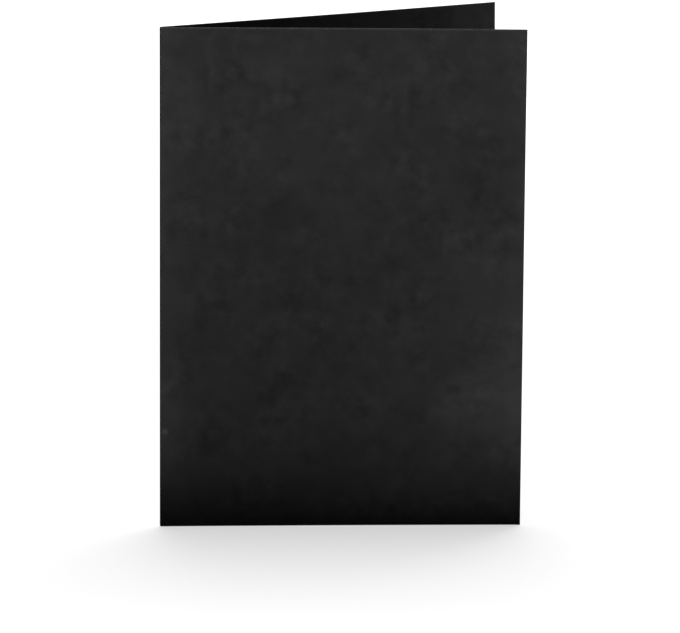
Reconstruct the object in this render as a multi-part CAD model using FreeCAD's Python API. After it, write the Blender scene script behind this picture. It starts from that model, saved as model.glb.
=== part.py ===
import FreeCAD, Part
import math
import os
from FreeCAD import Vector

# A greeting card: one sheet of thick black paper, scored, folded once and stood on its foot.
# The fold is the card's left side, the front panel faces -Y and the back panel faces +Y.
# Origin: the middle of the standing card's footprint, on the surface it stands on.

# Driving sizes, in millimetres
panel_width = 105.0
card_height = 148.0
sheet_thickness = 0.32

# How far the middle of each panel lies inside the straight line from fold to free edge
panel_bow = 0.4

# The card stands open a little wider at its top: the angle between the panels, in degrees
foot_angle = 18.3
top_angle = 22.8

# The scored fold's outside: a pressed hollow beside the spine
score_depth = 0.05
score_run = 0.60

# The scored fold's inside: half the gap between the panels, and the groove beside the bead
fold_half_gap = 0.23
groove_radius = 0.05
groove_run = 0.06

# The outer faces lie half a gap and one sheet from the middle, the spine a score depth less
spine_radius = fold_half_gap + sheet_thickness - score_depth

# The bead fills the space that the two grooves leave between the panels
groove_offset = fold_half_gap - groove_radius
bead_radius = math.hypot(groove_offset, groove_run) - groove_radius


def on_circle(centre, radius, degrees):
    """The point of a circle in the sheet's cross-section, at an angle from +X."""
    angle = math.radians(degrees)
    return centre + Vector(radius * math.cos(angle), radius * math.sin(angle), 0)


def arc(centre, radius, start, end):
    """Three points of an arc between two angles, in degrees."""
    return [on_circle(centre, radius, a) for a in (start, (start + end) / 2, end)]


def panel_section(opening_angle, height):
    """The outline of the back panel, from where it leaves the spine to where it meets the bead."""
    face_length = panel_width - spine_radius - score_run
    bow_turn = math.degrees(8 * panel_bow / face_length)
    bow_radius = face_length / math.radians(bow_turn)
    lean = (opening_angle - bow_turn) / 2
    outward = lean + 90
    inward = lean - 90
    spine = Vector(spine_radius, 0, height)

    # Pressed hollow beside the spine: two equal arcs that step out to the face
    step_radius = (score_run**2 + score_depth**2) / (4 * score_depth)
    step_turn = 2 * math.degrees(math.atan(score_depth / score_run))
    leaves_spine = on_circle(spine, spine_radius, outward)
    step_out = on_circle(leaves_spine, step_radius, outward)
    face_start = on_circle(on_circle(leaves_spine, score_run, lean), score_depth, outward)
    step_in = on_circle(face_start, step_radius, inward)

    # Faces: concentric arcs, one sheet thickness apart, cut off square at the free edge
    bow_centre = on_circle(face_start, bow_radius, outward)
    inner_radius = bow_radius + sheet_thickness
    outer_face = arc(bow_centre, bow_radius, inward, inward + bow_turn)
    inner_face = arc(bow_centre, inner_radius, inward + bow_turn, inward)

    # Groove between the inner face and the bead, round and touching both
    groove = on_circle(on_circle(spine, groove_offset, outward), groove_run, lean)
    bead_side = math.degrees(math.atan2(groove.y - spine.y, groove.x - spine.x))
    groove_arc = arc(groove, groove_radius, outward, bead_side + 180)

    return [
        arc(step_out, step_radius, inward, inward + step_turn),
        arc(step_in, step_radius, outward + step_turn, outward),
        outer_face,
        [outer_face[-1], inner_face[0]],
        inner_face,
        [inner_face[-1], groove_arc[0]],
        groove_arc,
    ], bead_side


def section(opening_angle, height):
    """The closed outline of the folded sheet at one height."""
    back, bead_side = panel_section(opening_angle, height)
    front = [[Vector(p.x, -p.y, p.z) for p in reversed(points)] for points in reversed(back)]
    spine = Vector(spine_radius, 0, height)
    bead = arc(spine, bead_radius, bead_side, -bead_side)
    nose = [front[-1][-1], Vector(0, 0, height), back[0][0]]
    edges = []
    for points in back + [bead] + front + [nose]:
        if len(points) == 2:
            edges.append(Part.LineSegment(*points).toShape())
        else:
            edges.append(Part.Arc(*points).toShape())
    return Part.Wire(edges)


def folded_sheet():
    """The sheet between its foot and its top."""
    foot = section(foot_angle, 0)
    top = section(top_angle, card_height)
    return Part.makeLoft([foot, top], True, True)


card = folded_sheet()
card.translate(Vector(-card.BoundBox.Center.x, 0, 0))

os.makedirs("parts", exist_ok=True)
card.exportStep("parts/folded_card.step")
print("folded_card", card.isValid(), len(card.Solids), round(card.Volume, 1), card.BoundBox)
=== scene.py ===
import math

import bpy
import numpy as np
from mathutils import Matrix, Vector


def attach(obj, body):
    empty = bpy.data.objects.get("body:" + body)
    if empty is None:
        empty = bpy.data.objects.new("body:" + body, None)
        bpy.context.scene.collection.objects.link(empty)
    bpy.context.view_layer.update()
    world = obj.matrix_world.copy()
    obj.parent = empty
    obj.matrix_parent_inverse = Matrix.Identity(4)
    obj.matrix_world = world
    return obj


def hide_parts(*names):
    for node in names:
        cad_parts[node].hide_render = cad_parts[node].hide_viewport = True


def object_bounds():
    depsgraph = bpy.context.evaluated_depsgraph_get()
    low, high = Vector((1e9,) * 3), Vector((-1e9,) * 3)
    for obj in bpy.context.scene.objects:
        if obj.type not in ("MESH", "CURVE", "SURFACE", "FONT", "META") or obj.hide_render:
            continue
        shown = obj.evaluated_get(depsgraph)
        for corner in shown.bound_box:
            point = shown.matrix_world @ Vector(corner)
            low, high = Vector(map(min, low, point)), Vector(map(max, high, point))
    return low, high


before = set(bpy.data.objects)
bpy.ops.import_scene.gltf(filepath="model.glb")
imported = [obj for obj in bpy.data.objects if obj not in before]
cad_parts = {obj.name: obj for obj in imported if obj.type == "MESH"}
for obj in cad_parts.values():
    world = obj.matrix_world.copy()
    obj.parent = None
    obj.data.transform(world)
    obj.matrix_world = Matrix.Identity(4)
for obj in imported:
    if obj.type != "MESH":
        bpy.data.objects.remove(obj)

# A folded greeting card of thick black paper, standing open on a pale floor.
# Metres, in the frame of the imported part: +X runs from the fold to the free edges,
# the front panel faces -Y and the floor is at Z = 0. Angles are in degrees.

cad_low, cad_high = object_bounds()

# The sheet and how it stands, as in the part's source
PANEL_WIDTH = 0.105
SHEET = 0.00032
BOW = 0.0004
FOOT_ANGLE = 18.3
TOP_ANGLE = 22.8
SCORE_DEPTH = 0.00005
SCORE_RUN = 0.0006
FOLD_HALF_GAP = 0.00023
GROOVE_RADIUS = 0.00005
GROOVE_RUN = 0.00006
SPINE_RADIUS = FOLD_HALF_GAP + SHEET - SCORE_DEPTH
GROOVE_OFFSET = FOLD_HALF_GAP - GROOVE_RADIUS
BEAD_RADIUS = math.hypot(GROOVE_OFFSET, GROOVE_RUN) - GROOVE_RADIUS
FACE_LENGTH = PANEL_WIDTH - SPINE_RADIUS - SCORE_RUN

# Where it stands in the frame
FOLD_X = -cad_high.x
CARD_HEIGHT = cad_high.z

# The two panels, as the side of Y = 0 that they lie on
FRONT = -1
BACK = 1

# The knife rolls the outer face over at the cut edges and leaves the inner face nearly square
ROLL_DEPTH = 0.0001
ROLL_REACH = 0.0006
CRISP_RADIUS = 0.00004

# The points of such an edge, in degrees round it: at top and foot, and at the free edges
ROLL_TURNS = (30, 60, 90)
FREE_ROLL_TURNS = (30, 60, 80)

# How finely the sheet is drawn: rows over its faces, more rows near an edge, and steps of an arc
ROW_STEP = 0.0012
SUPPORT_ROWS = (0.0008, 0.001)
NOSE_STEPS = 8
HOLLOW_STEPS = 4

# The slow waves that a sheet this thin settles into. Each has its share of the height, its half
# waves along the panel and up it, and where in a half wave it starts
WAVE_HEIGHT = 0.00008
WAVES = {
    FRONT: ((1.0, 1.7, 0.6, -0.3), (0.6, 0.9, -2.3, 0.8), (0.35, 3.1, -3.7, 0.0)),
    BACK: ((1.0, 1.7, 0.6, 0.3), (0.6, 0.9, -2.3, 0.8), (0.35, 3.1, 3.7, 0.0)),
}

# The share of the panel, from the fold, over which they grow to full height
WAVE_ONSET = 0.25

# Paper: the card's own grey, and what its cut edges show: paler cut fibres, with painted sheen on them
PAPER_GREY = 0.0222
CUT_AND_SHEEN_GREY = 0.037

# The cut edges at top and foot show paler than the free edges do, with more of the painted sheen
FREE_EDGE_CUT = 0.2

# Painted light: the outside is painted paler beside the fold and the free edges, and most of all
# low down near the fold and near the front panel's free edge, for light from the sides. It fades out at the
# foot
PAINTED_LIGHT_AT_FOLD = 0.25
PAINTED_LIGHT_AT_FREE_EDGE = 0.17
PAINTED_LIGHT_FOLD_WIDTH = 0.013
PAINTED_LIGHT_FREE_WIDTH = 0.007
FOLD_LIGHT_HEIGHT = 0.027
FOLD_LIGHT_GAIN = 2.0
FREE_EDGE_LIGHT_HEIGHT = 0.037
FREE_EDGE_LIGHT_GAIN = 3.2
LOW_LIGHT_SPREAD = 0.015
PAINTED_LIGHT_FADE_HEIGHT = 0.02

# Spots where the tone differs, as place, radius and share of the tone elsewhere: painted shade over
# the middle of both panels, a darker spot high on the front one, and a small scuff low down beside the fold
TONE_SPOTS = (
    ((-0.012, 0.0, 0.07), 0.062, 0.8),
    ((0.028, -0.0155, 0.103), 0.032, 0.88),
    ((FOLD_X + 0.0014, -0.0007, 0.0286), 0.0015, 1.9),
)

# The share of a spot's radius over which it is at full strength
SPOT_CORE = 0.2

# Nearly all the values of a noise lie between these
NOISE_LOW = 0.3
NOISE_MIDDLE = 0.5
NOISE_HIGH = 0.7

# The dye's clouds, and by what share they darken and lighten the paper
CLOUD_SIZE = 0.018
CLOUD_SPREAD = 0.15

# Small mottle, which is strong in some patches and nearly gone between them
MOTTLE_SIZE = 0.0045
MOTTLE_PATCH_SIZE = 0.011
MOTTLE_PATCH_NOISE = (0.4, 0.7)
MOTTLE_STRENGTH = (0.1, 1.35)

# The frayed fibres of a cut edge, and by what share they darken and lighten it
FRAY_SIZE = 0.0006
FRAY_SPREAD = 0.4

# The tooth of the paper, on the broader marks of the felt that it was pressed with
TOOTH_SIZE = 0.0004
FELT_SIZE = 0.0014
RELIEF_DEPTH = 0.00006
RELIEF_STRENGTH = 0.35
ROUGHNESS = (0.82, 0.94)
SPECULAR_LEVEL = 0.05

# The camera, from the photograph's edges
CAMERA_ELEVATION = 13.946
CAMERA_TURN = 11.438
CAMERA_ROLL = 0.387
CAMERA_DISTANCE = 1.74465
CAMERA_TARGET = Vector((-0.000837, -0.010322, 0.063238))
CAMERA_LENS = 319.9
SENSOR_WIDTH = 36.0

# The floor, just under the card's foot
FLOOR_SIZE = 6.0
FLOOR_DROP = 0.00005

# To the camera it has a white of its own, which grows to full between two distances from the
# card, and a lit grey that carries the card's shadow
FLOOR_WHITE = 0.6
FLOOR_WHITE_FROM = 0.2
FLOOR_WHITE_BY = 0.6
FLOOR_SHADE = 0.24
WHITE = (1.0, 1.0, 1.0, 1.0)

# It throws light on the card from all but a dark patch round the foot
FLOOR_GLOW = 2.0
PATCH_CENTRE = (-0.003, -0.005)
PATCH_TURN = 6.0
PATCH_HALF_SIZE = (0.105, 0.047)
PATCH_SOFTNESS = 0.008

# A soft light overhead, and a little from all round
OVERHEAD_POWER = 29.0
OVERHEAD_SIZE = 0.7
OVERHEAD_PLACE = Vector((0.12, 0.26, 1.12))
ROOM_GLOW = 0.04


def on_circle(centre, radius, angles):
    """Points of a circle in the sheet's section, at angles from +X in radians."""
    return centre + radius * np.stack([np.cos(angles), np.sin(angles)], axis=-1)


def back_half(opening, outer_shares, inner_shares):
    """The back half of the section, from the nose to the free edge: its outer and inner points."""
    bow_turn = 8 * BOW / FACE_LENGTH
    bow_radius = FACE_LENGTH / bow_turn
    lean = (math.radians(opening) - bow_turn) / 2
    outward = lean + math.pi / 2
    inward = lean - math.pi / 2
    spine = np.array([SPINE_RADIUS, 0.0])

    step_radius = (SCORE_RUN**2 + SCORE_DEPTH**2) / (4 * SCORE_DEPTH)
    step_turn = 2 * math.atan(SCORE_DEPTH / SCORE_RUN)
    leaves_spine = on_circle(spine, SPINE_RADIUS, outward)
    step_out = on_circle(leaves_spine, step_radius, outward)
    face_start = on_circle(on_circle(leaves_spine, SCORE_RUN, lean), SCORE_DEPTH, outward)
    step_in = on_circle(face_start, step_radius, inward)
    bow_centre = on_circle(face_start, bow_radius, outward)
    groove = on_circle(on_circle(spine, GROOVE_OFFSET, outward), GROOVE_RUN, lean)
    bead_side = math.atan2(groove[1], groove[0] - SPINE_RADIUS)

    nose = on_circle(spine, SPINE_RADIUS, np.linspace(math.pi, outward, NOSE_STEPS + 1))
    rise = on_circle(step_out, step_radius, np.linspace(inward, inward + step_turn, HOLLOW_STEPS + 1))
    ease = on_circle(step_in, step_radius, np.linspace(outward + step_turn, outward, HOLLOW_STEPS + 1))
    outer_face = on_circle(bow_centre, bow_radius, inward + bow_turn * outer_shares)

    bead = on_circle(spine, BEAD_RADIUS, np.linspace(0, bead_side, NOSE_STEPS + 1))
    hollow = on_circle(groove, GROOVE_RADIUS, np.linspace(bead_side + math.pi, outward, HOLLOW_STEPS + 1))
    inner_start = on_circle(bow_centre, bow_radius + SHEET, inward)
    flat = np.linspace(hollow[-1], inner_start, HOLLOW_STEPS + 1)
    inner_face = on_circle(bow_centre, bow_radius + SHEET, inward + bow_turn * inner_shares)

    outer = np.concatenate([nose, rise[1:], ease[1:], outer_face])
    inner = np.concatenate([bead, hollow[1:], flat[1:], inner_face])
    return outer, inner


def both_halves(half):
    """The front half's points mirrored from the back half's, then the back half's, as one line."""
    return np.concatenate([half[:0:-1] * (1, -1), half])


def up_the_side(depth, reach, inset):
    """Depth into the sheet and height of the points up one side, from cut edge to cut edge."""
    turn = np.radians(ROLL_TURNS)
    close = np.array([reach, *SUPPORT_ROWS])
    middle = np.linspace(0, CARD_HEIGHT, round(CARD_HEIGHT / ROW_STEP) + 1)[1:-1]
    face = np.concatenate([close, middle, (CARD_HEIGHT - close)[::-1]])
    rolled = depth - (depth - inset) * np.cos(turn)
    rise = reach * (1 - np.sin(turn))
    into = np.concatenate([rolled[::-1], np.full(len(face), inset), rolled])
    height = np.concatenate([rise[::-1], face, CARD_HEIGHT - rise])
    return into, height


def along_the_face(depth, reach):
    """Shares of the face from fold to free edge at which it is drawn, and all the points' insets."""
    turn = np.radians(FREE_ROLL_TURNS)
    close = np.array([*SUPPORT_ROWS[::-1], reach])
    even = np.linspace(0, FACE_LENGTH, round(FACE_LENGTH / ROW_STEP) + 1)[1:-1]
    ends = FACE_LENGTH - reach * (1 - np.sin(turn))
    shares = np.concatenate([even, FACE_LENGTH - close, ends]) / FACE_LENGTH
    before_face = NOSE_STEPS + 2 * HOLLOW_STEPS + 1
    level = np.zeros(before_face + len(even) + len(close))
    insets = np.concatenate([level, depth * (1 - np.cos(turn))])
    return shares, np.concatenate([insets[:0:-1], insets])


def waves(reach, height, side):
    """How far the sheet stands out from its true form: slow waves that die out at the fold."""
    along = reach / PANEL_WIDTH
    up = height / CARD_HEIGHT
    swell = np.zeros(len(height))
    for share, along_count, up_count, start in WAVES[side]:
        swell += share * np.sin(math.pi * (along_count * along + up_count * up + start))
    return WAVE_HEIGHT * swell * np.clip(along / WAVE_ONSET, 0, 1) ** 2


def painted_edge_light(reach, height, side):
    """By what share the outer face is painted paler, as painted light: beside an edge, and more low down.
    """
    fold_boost = 1 + FOLD_LIGHT_GAIN * np.exp(-((height - FOLD_LIGHT_HEIGHT) / LOW_LIGHT_SPREAD) ** 2)
    free_edge_boost = 1 + (side == FRONT) * FREE_EDGE_LIGHT_GAIN * np.exp(-((height - FREE_EDGE_LIGHT_HEIGHT) / LOW_LIGHT_SPREAD) ** 2)
    at_fold = PAINTED_LIGHT_AT_FOLD * fold_boost * (1 - reach / PAINTED_LIGHT_FOLD_WIDTH)
    at_free = PAINTED_LIGHT_AT_FREE_EDGE * free_edge_boost * (1 - (PANEL_WIDTH - reach) / (PAINTED_LIGHT_FREE_WIDTH * free_edge_boost))
    fade = np.clip(height / PAINTED_LIGHT_FADE_HEIGHT, 0, 1)
    return fade * np.maximum(0, np.maximum(at_fold, at_free))


def cutting(height, inset):
    """How far the points up one side are on a cut edge: fully at top and foot, less at a free edge."""
    on_cut = np.full(len(height), FREE_EDGE_CUT if inset > 0 else 0.0)
    on_cut[:len(ROLL_TURNS)] = 1.0
    on_cut[-len(ROLL_TURNS):] = 1.0
    return on_cut


def sheet_points():
    """Vertices as station x side x point, and how far each is on a cut edge and how much painted light it
    gets.
    """
    outer_shares, outer_insets = along_the_face(ROLL_DEPTH, ROLL_REACH)
    inner_shares, inner_insets = along_the_face(CRISP_RADIUS, CRISP_RADIUS)
    foot = [both_halves(half) for half in back_half(FOOT_ANGLE, outer_shares, inner_shares)]
    top = [both_halves(half) for half in back_half(TOP_ANGLE, outer_shares, inner_shares)]
    fold = len(outer_insets) // 2

    points, cut, painted_light = [], [], []
    for k, (outer_inset, inner_inset) in enumerate(zip(outer_insets, inner_insets)):
        side = BACK if k > fold else FRONT
        outer = (outer_inset, 1, *up_the_side(ROLL_DEPTH, ROLL_REACH, outer_inset))
        inner = (inner_inset, -1, *up_the_side(CRISP_RADIUS, CRISP_RADIUS, inner_inset))
        pair, pair_cut, pair_painted_light = [], [], []
        for at, (inset, way, into, height) in enumerate((outer, inner)):
            # The plan of both faces at each height, and the way through the sheet between them
            share = (height / CARD_HEIGHT)[:, None]
            plan = [foot[i][k] * (1 - share) + top[i][k] * share for i in (0, 1)]
            through = plan[1] - plan[0]
            through = through / np.linalg.norm(through, axis=1, keepdims=True)
            reach = np.linalg.norm(plan[at], axis=1)
            moved = way * into - waves(reach, height, side)
            pair.append(np.column_stack([plan[at] + through * moved[:, None], height]))
            pair_cut.append(cutting(height, inset))
            # Only the outer face, at 0, gets the painted light
            pair_painted_light.append(painted_edge_light(reach, height, side) * (1 - at))
        points.append(pair)
        cut.append(pair_cut)
        painted_light.append(pair_painted_light)
    return np.array(points) + (FOLD_X, 0, 0), np.array(cut), np.array(painted_light)


def sheet_faces(stations, length):
    """Quads between neighbouring stations, and over the two free edges."""
    index = np.arange(stations * 2 * length).reshape(stations, 2, length)
    ring = np.concatenate([index[:, 0], index[:, 1, ::-1], index[:, 0, :1]], axis=1)
    a, b = ring[:-1, :-1], ring[:-1, 1:]
    c, d = ring[1:, 1:], ring[1:, :-1]
    walls = np.stack([a, b, c, d], axis=-1).reshape(-1, 4)
    first, last = index[0], index[-1]
    near = np.stack([first[0, :-1], first[1, :-1], first[1, 1:], first[0, 1:]], axis=-1)
    far = np.stack([last[0, :-1], last[0, 1:], last[1, 1:], last[1, :-1]], axis=-1)
    return np.concatenate([walls, near, far])


def folded_sheet():
    """The folded sheet as one closed mesh of the part's own form."""
    points, cut, painted_light = sheet_points()
    stations, _, length, _ = points.shape
    mesh = bpy.data.meshes.new("folded_sheet")
    mesh.from_pydata(points.reshape(-1, 3).tolist(), [], sheet_faces(stations, length).tolist())
    mesh.polygons.foreach_set("use_smooth", np.ones(len(mesh.polygons), dtype=bool))
    # Where the cut edges are, and the painted light beside the fold and the free edges, as point attributes
    for name, values in (("cut", cut), ("painted_light", painted_light)):
        attribute = mesh.attributes.new(name, "FLOAT", "POINT")
        attribute.data.foreach_set("value", values.reshape(-1).astype(np.float32))
    mesh.update()
    sheet = bpy.data.objects.new("folded_sheet", mesh)
    bpy.context.scene.collection.objects.link(sheet)
    return sheet


def add_node(tree, kind, inputs=None, **settings):
    """A node with its settings, and its inputs given as values or as other nodes' outputs."""
    made = tree.nodes.new(kind)
    for name, value in settings.items():
        setattr(made, name, value)
    for name, value in (inputs or {}).items():
        if isinstance(value, bpy.types.NodeSocket):
            tree.links.new(value, made.inputs[name])
        else:
            made.inputs[name].default_value = value
    return made


def add_math(tree, operation, a, b=0.0):
    """The output of a Math node."""
    return add_node(tree, "ShaderNodeMath", {0: a, 1: b}, operation=operation).outputs[0]


def add_noise(tree, place, size, detail, roughness):
    """Noise whose largest features are about size metres across, from 0 to 1."""
    inputs = {"Vector": place, "Scale": 1 / size, "Detail": detail, "Roughness": roughness}
    return add_node(tree, "ShaderNodeTexNoise", inputs).outputs["Fac"]


def remap(tree, value, low, high, to_low, to_high, **settings):
    """A value's range carried onto another, held at both ends."""
    inputs = {"Value": value, "From Min": low, "From Max": high, "To Min": to_low, "To Max": to_high}
    return add_node(tree, "ShaderNodeMapRange", inputs, **settings).outputs["Result"]


def add_spot(tree, place, centre, radius, share):
    """A factor that is share round a point and eases to 1 at radius from it."""
    measure = add_node(tree, "ShaderNodeVectorMath", {0: place, 1: centre}, operation="DISTANCE")
    away = measure.outputs["Value"]
    return remap(tree, away, SPOT_CORE * radius, radius, share, 1.0, interpolation_type="SMOOTHSTEP")


def empty_material(name):
    """A material with its nodes cleared."""
    material = bpy.data.materials.new(name)
    material.use_nodes = True
    material.node_tree.nodes.clear()
    return material


def grey_with_painted_light(tree, place):
    """The paper's grey: cloudy, mottled in patches, with its spots, and painted light beside the fold and
    free edges.
    """
    cloud = add_noise(tree, place, CLOUD_SIZE, detail=6, roughness=0.6)
    cloudy = remap(tree, cloud, NOISE_LOW, NOISE_HIGH, 1 - CLOUD_SPREAD, 1 + CLOUD_SPREAD)
    mottle = add_noise(tree, place, MOTTLE_SIZE, detail=3, roughness=0.6)
    patches = add_noise(tree, place, MOTTLE_PATCH_SIZE, detail=2, roughness=0.5)
    strength = remap(tree, patches, *MOTTLE_PATCH_NOISE, *MOTTLE_STRENGTH)
    mottle = add_math(tree, "MULTIPLY", add_math(tree, "SUBTRACT", mottle, NOISE_MIDDLE), strength)
    grey = add_math(tree, "MULTIPLY", cloudy, add_math(tree, "ADD", mottle, 1.0))
    # Painted shade over the middle of both panels, a darker spot high on the front one, and a pale scuff
    for centre, radius, share in TONE_SPOTS:
        grey = add_math(tree, "MULTIPLY", grey, add_spot(tree, place, centre, radius, share))
    # Painted light: paler beside the fold and the free edges, most of all low down
    painted_light = add_node(tree, "ShaderNodeAttribute", attribute_name="painted_light").outputs["Fac"]
    grey = add_math(tree, "MULTIPLY", grey, add_math(tree, "ADD", painted_light, 1.0))
    return add_math(tree, "MULTIPLY", grey, PAPER_GREY)


def black_paper():
    """Uncoated black card, dyed through: cloudy, with a fine tooth, paler cut edges carrying painted sheen,
    and painted light and shade.
    """
    material = empty_material("black_paper")
    tree = material.node_tree
    place = add_node(tree, "ShaderNodeTexCoord").outputs["Object"]

    frayed = add_noise(tree, place, FRAY_SIZE, detail=2, roughness=0.6)
    darkest = (1 - FRAY_SPREAD) * CUT_AND_SHEEN_GREY
    palest = (1 + FRAY_SPREAD) * CUT_AND_SHEEN_GREY
    # The cut edges' grey: paler fibres, partly painted sheen
    cut_and_sheen_grey = remap(tree, frayed, NOISE_LOW, NOISE_HIGH, darkest, palest)
    cut = add_node(tree, "ShaderNodeAttribute", attribute_name="cut").outputs["Fac"]
    greys = {"Factor": cut, 2: grey_with_painted_light(tree, place), 3: cut_and_sheen_grey}
    mixed = add_node(tree, "ShaderNodeMix", greys, data_type="FLOAT")

    tooth = add_noise(tree, place, TOOTH_SIZE, detail=3, roughness=0.55)
    felt = add_noise(tree, place, FELT_SIZE, detail=2, roughness=0.5)
    relief = add_math(tree, "ADD", tooth, felt)
    heights = {"Strength": RELIEF_STRENGTH, "Distance": RELIEF_DEPTH, "Height": relief}
    bump = add_node(tree, "ShaderNodeBump", heights)

    shader = add_node(tree, "ShaderNodeBsdfPrincipled", {
        "Base Color": mixed.outputs[0],
        "Roughness": remap(tree, felt, NOISE_LOW, NOISE_HIGH, *ROUGHNESS),
        "Normal": bump.outputs["Normal"],
        "Specular IOR Level": SPECULAR_LEVEL,
    })
    out = add_node(tree, "ShaderNodeOutputMaterial")
    tree.links.new(shader.outputs["BSDF"], out.inputs["Surface"])
    return material


def beyond_patch(tree, place):
    """0 on the dark patch round the card's foot and 1 beyond it."""
    turned = add_node(tree, "ShaderNodeMapping", {
        "Vector": place,
        "Location": (*PATCH_CENTRE, 0.0),
        "Rotation": (0.0, 0.0, math.radians(PATCH_TURN)),
    }, vector_type="TEXTURE")
    split = add_node(tree, "ShaderNodeSeparateXYZ", {"Vector": turned.outputs["Vector"]})
    beyond = []
    for axis, half_size in zip("XY", PATCH_HALF_SIZE):
        away = add_math(tree, "ABSOLUTE", split.outputs[axis])
        low, high = half_size - PATCH_SOFTNESS, half_size + PATCH_SOFTNESS
        beyond.append(remap(tree, away, low, high, 0.0, 1.0))
    return add_math(tree, "MAXIMUM", *beyond)


def pale_floor():
    """White to the camera, with the card's shadow on it, and bright to the card from beyond its foot."""
    material = empty_material("pale_floor")
    material.cycles.emission_sampling = "NONE"
    tree = material.node_tree
    place = add_node(tree, "ShaderNodeTexCoord").outputs["Object"]

    grey = (FLOOR_SHADE, FLOOR_SHADE, FLOOR_SHADE, 1.0)
    shaded = add_node(tree, "ShaderNodeBsdfDiffuse", {"Color": grey})
    far = add_node(tree, "ShaderNodeVectorMath", {0: place}, operation="LENGTH").outputs["Value"]
    whiter = remap(tree, far, FLOOR_WHITE_FROM, FLOOR_WHITE_BY, FLOOR_WHITE, 1.0)
    white = add_node(tree, "ShaderNodeEmission", {"Strength": whiter})
    shown = add_node(tree, "ShaderNodeAddShader", {0: shaded.outputs[0], 1: white.outputs[0]})

    glow = add_math(tree, "MULTIPLY", beyond_patch(tree, place), FLOOR_GLOW)
    bounce = add_node(tree, "ShaderNodeEmission", {"Strength": glow})
    mirror_white = add_node(tree, "ShaderNodeEmission", {"Strength": 1.0})

    path = add_node(tree, "ShaderNodeLightPath")
    mirrored = add_math(tree, "MAXIMUM", path.outputs["Is Glossy Ray"], path.outputs["Is Transmission Ray"])
    unseen = {0: mirrored, 1: bounce.outputs[0], 2: mirror_white.outputs[0]}
    hidden = add_node(tree, "ShaderNodeMixShader", unseen)
    either = {0: path.outputs["Is Camera Ray"], 1: hidden.outputs[0], 2: shown.outputs[0]}
    final = add_node(tree, "ShaderNodeMixShader", either)
    out = add_node(tree, "ShaderNodeOutputMaterial")
    tree.links.new(final.outputs[0], out.inputs["Surface"])
    return material


def make_floor():
    """A wide plane just under the card's foot."""
    half = FLOOR_SIZE / 2
    mesh = bpy.data.meshes.new("floor")
    corners = [(-half, -half, 0), (half, -half, 0), (half, half, 0), (-half, half, 0)]
    mesh.from_pydata(corners, [], [(0, 1, 2, 3)])
    floor = bpy.data.objects.new("floor", mesh)
    floor.location.z = -FLOOR_DROP
    floor.data.materials.append(pale_floor())
    bpy.context.scene.collection.objects.link(floor)


def make_world():
    """White round the set, and a little light from it on the card."""
    world = bpy.data.worlds.new("studio")
    world.use_nodes = True
    tree = world.node_tree
    tree.nodes.clear()
    path = add_node(tree, "ShaderNodeLightPath")
    seen = add_math(tree, "MAXIMUM", path.outputs["Is Camera Ray"], path.outputs["Is Glossy Ray"])
    seen = add_math(tree, "MAXIMUM", seen, path.outputs["Is Transmission Ray"])
    strength = remap(tree, seen, 0.0, 1.0, ROOM_GLOW, 1.0)
    back = add_node(tree, "ShaderNodeBackground", {"Color": WHITE, "Strength": strength})
    out = add_node(tree, "ShaderNodeOutputWorld")
    tree.links.new(back.outputs[0], out.inputs["Surface"])
    bpy.context.scene.world = world


def make_overhead_light():
    """A square soft light above the card, turned to its foot and not seen itself."""
    light = bpy.data.lights.new("overhead", "AREA")
    light.energy = OVERHEAD_POWER
    light.size = OVERHEAD_SIZE
    lamp = bpy.data.objects.new("overhead", light)
    lamp.location = OVERHEAD_PLACE
    lamp.rotation_euler = (-OVERHEAD_PLACE).to_track_quat("-Z", "Y").to_euler()
    lamp.visible_camera = False
    bpy.context.scene.collection.objects.link(lamp)


def make_camera():
    """The photograph's own view of the card."""
    elevation = math.radians(CAMERA_ELEVATION)
    turn = math.radians(CAMERA_TURN)
    roll = math.radians(CAMERA_ROLL)
    forward = Vector((
        math.sin(turn) * math.cos(elevation),
        math.cos(turn) * math.cos(elevation),
        -math.sin(elevation),
    ))
    level = Vector((math.cos(turn), -math.sin(turn), 0.0))
    right = level * math.cos(roll) + level.cross(forward) * math.sin(roll)
    up = right.cross(forward)
    facing = Matrix((right, up, -forward)).transposed().to_4x4()
    data = bpy.data.cameras.new("camera")
    data.lens = CAMERA_LENS
    data.sensor_width = SENSOR_WIDTH
    camera = bpy.data.objects.new("camera", data)
    camera.matrix_world = Matrix.Translation(CAMERA_TARGET - forward * CAMERA_DISTANCE) @ facing
    bpy.context.scene.collection.objects.link(camera)
    bpy.context.scene.camera = camera


sheet = folded_sheet()
sheet.data.materials.append(black_paper())
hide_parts("folded_card")
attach(sheet, "root")

make_floor()
make_world()
make_overhead_light()
make_camera()
bpy.context.scene.view_settings.view_transform = "Standard"
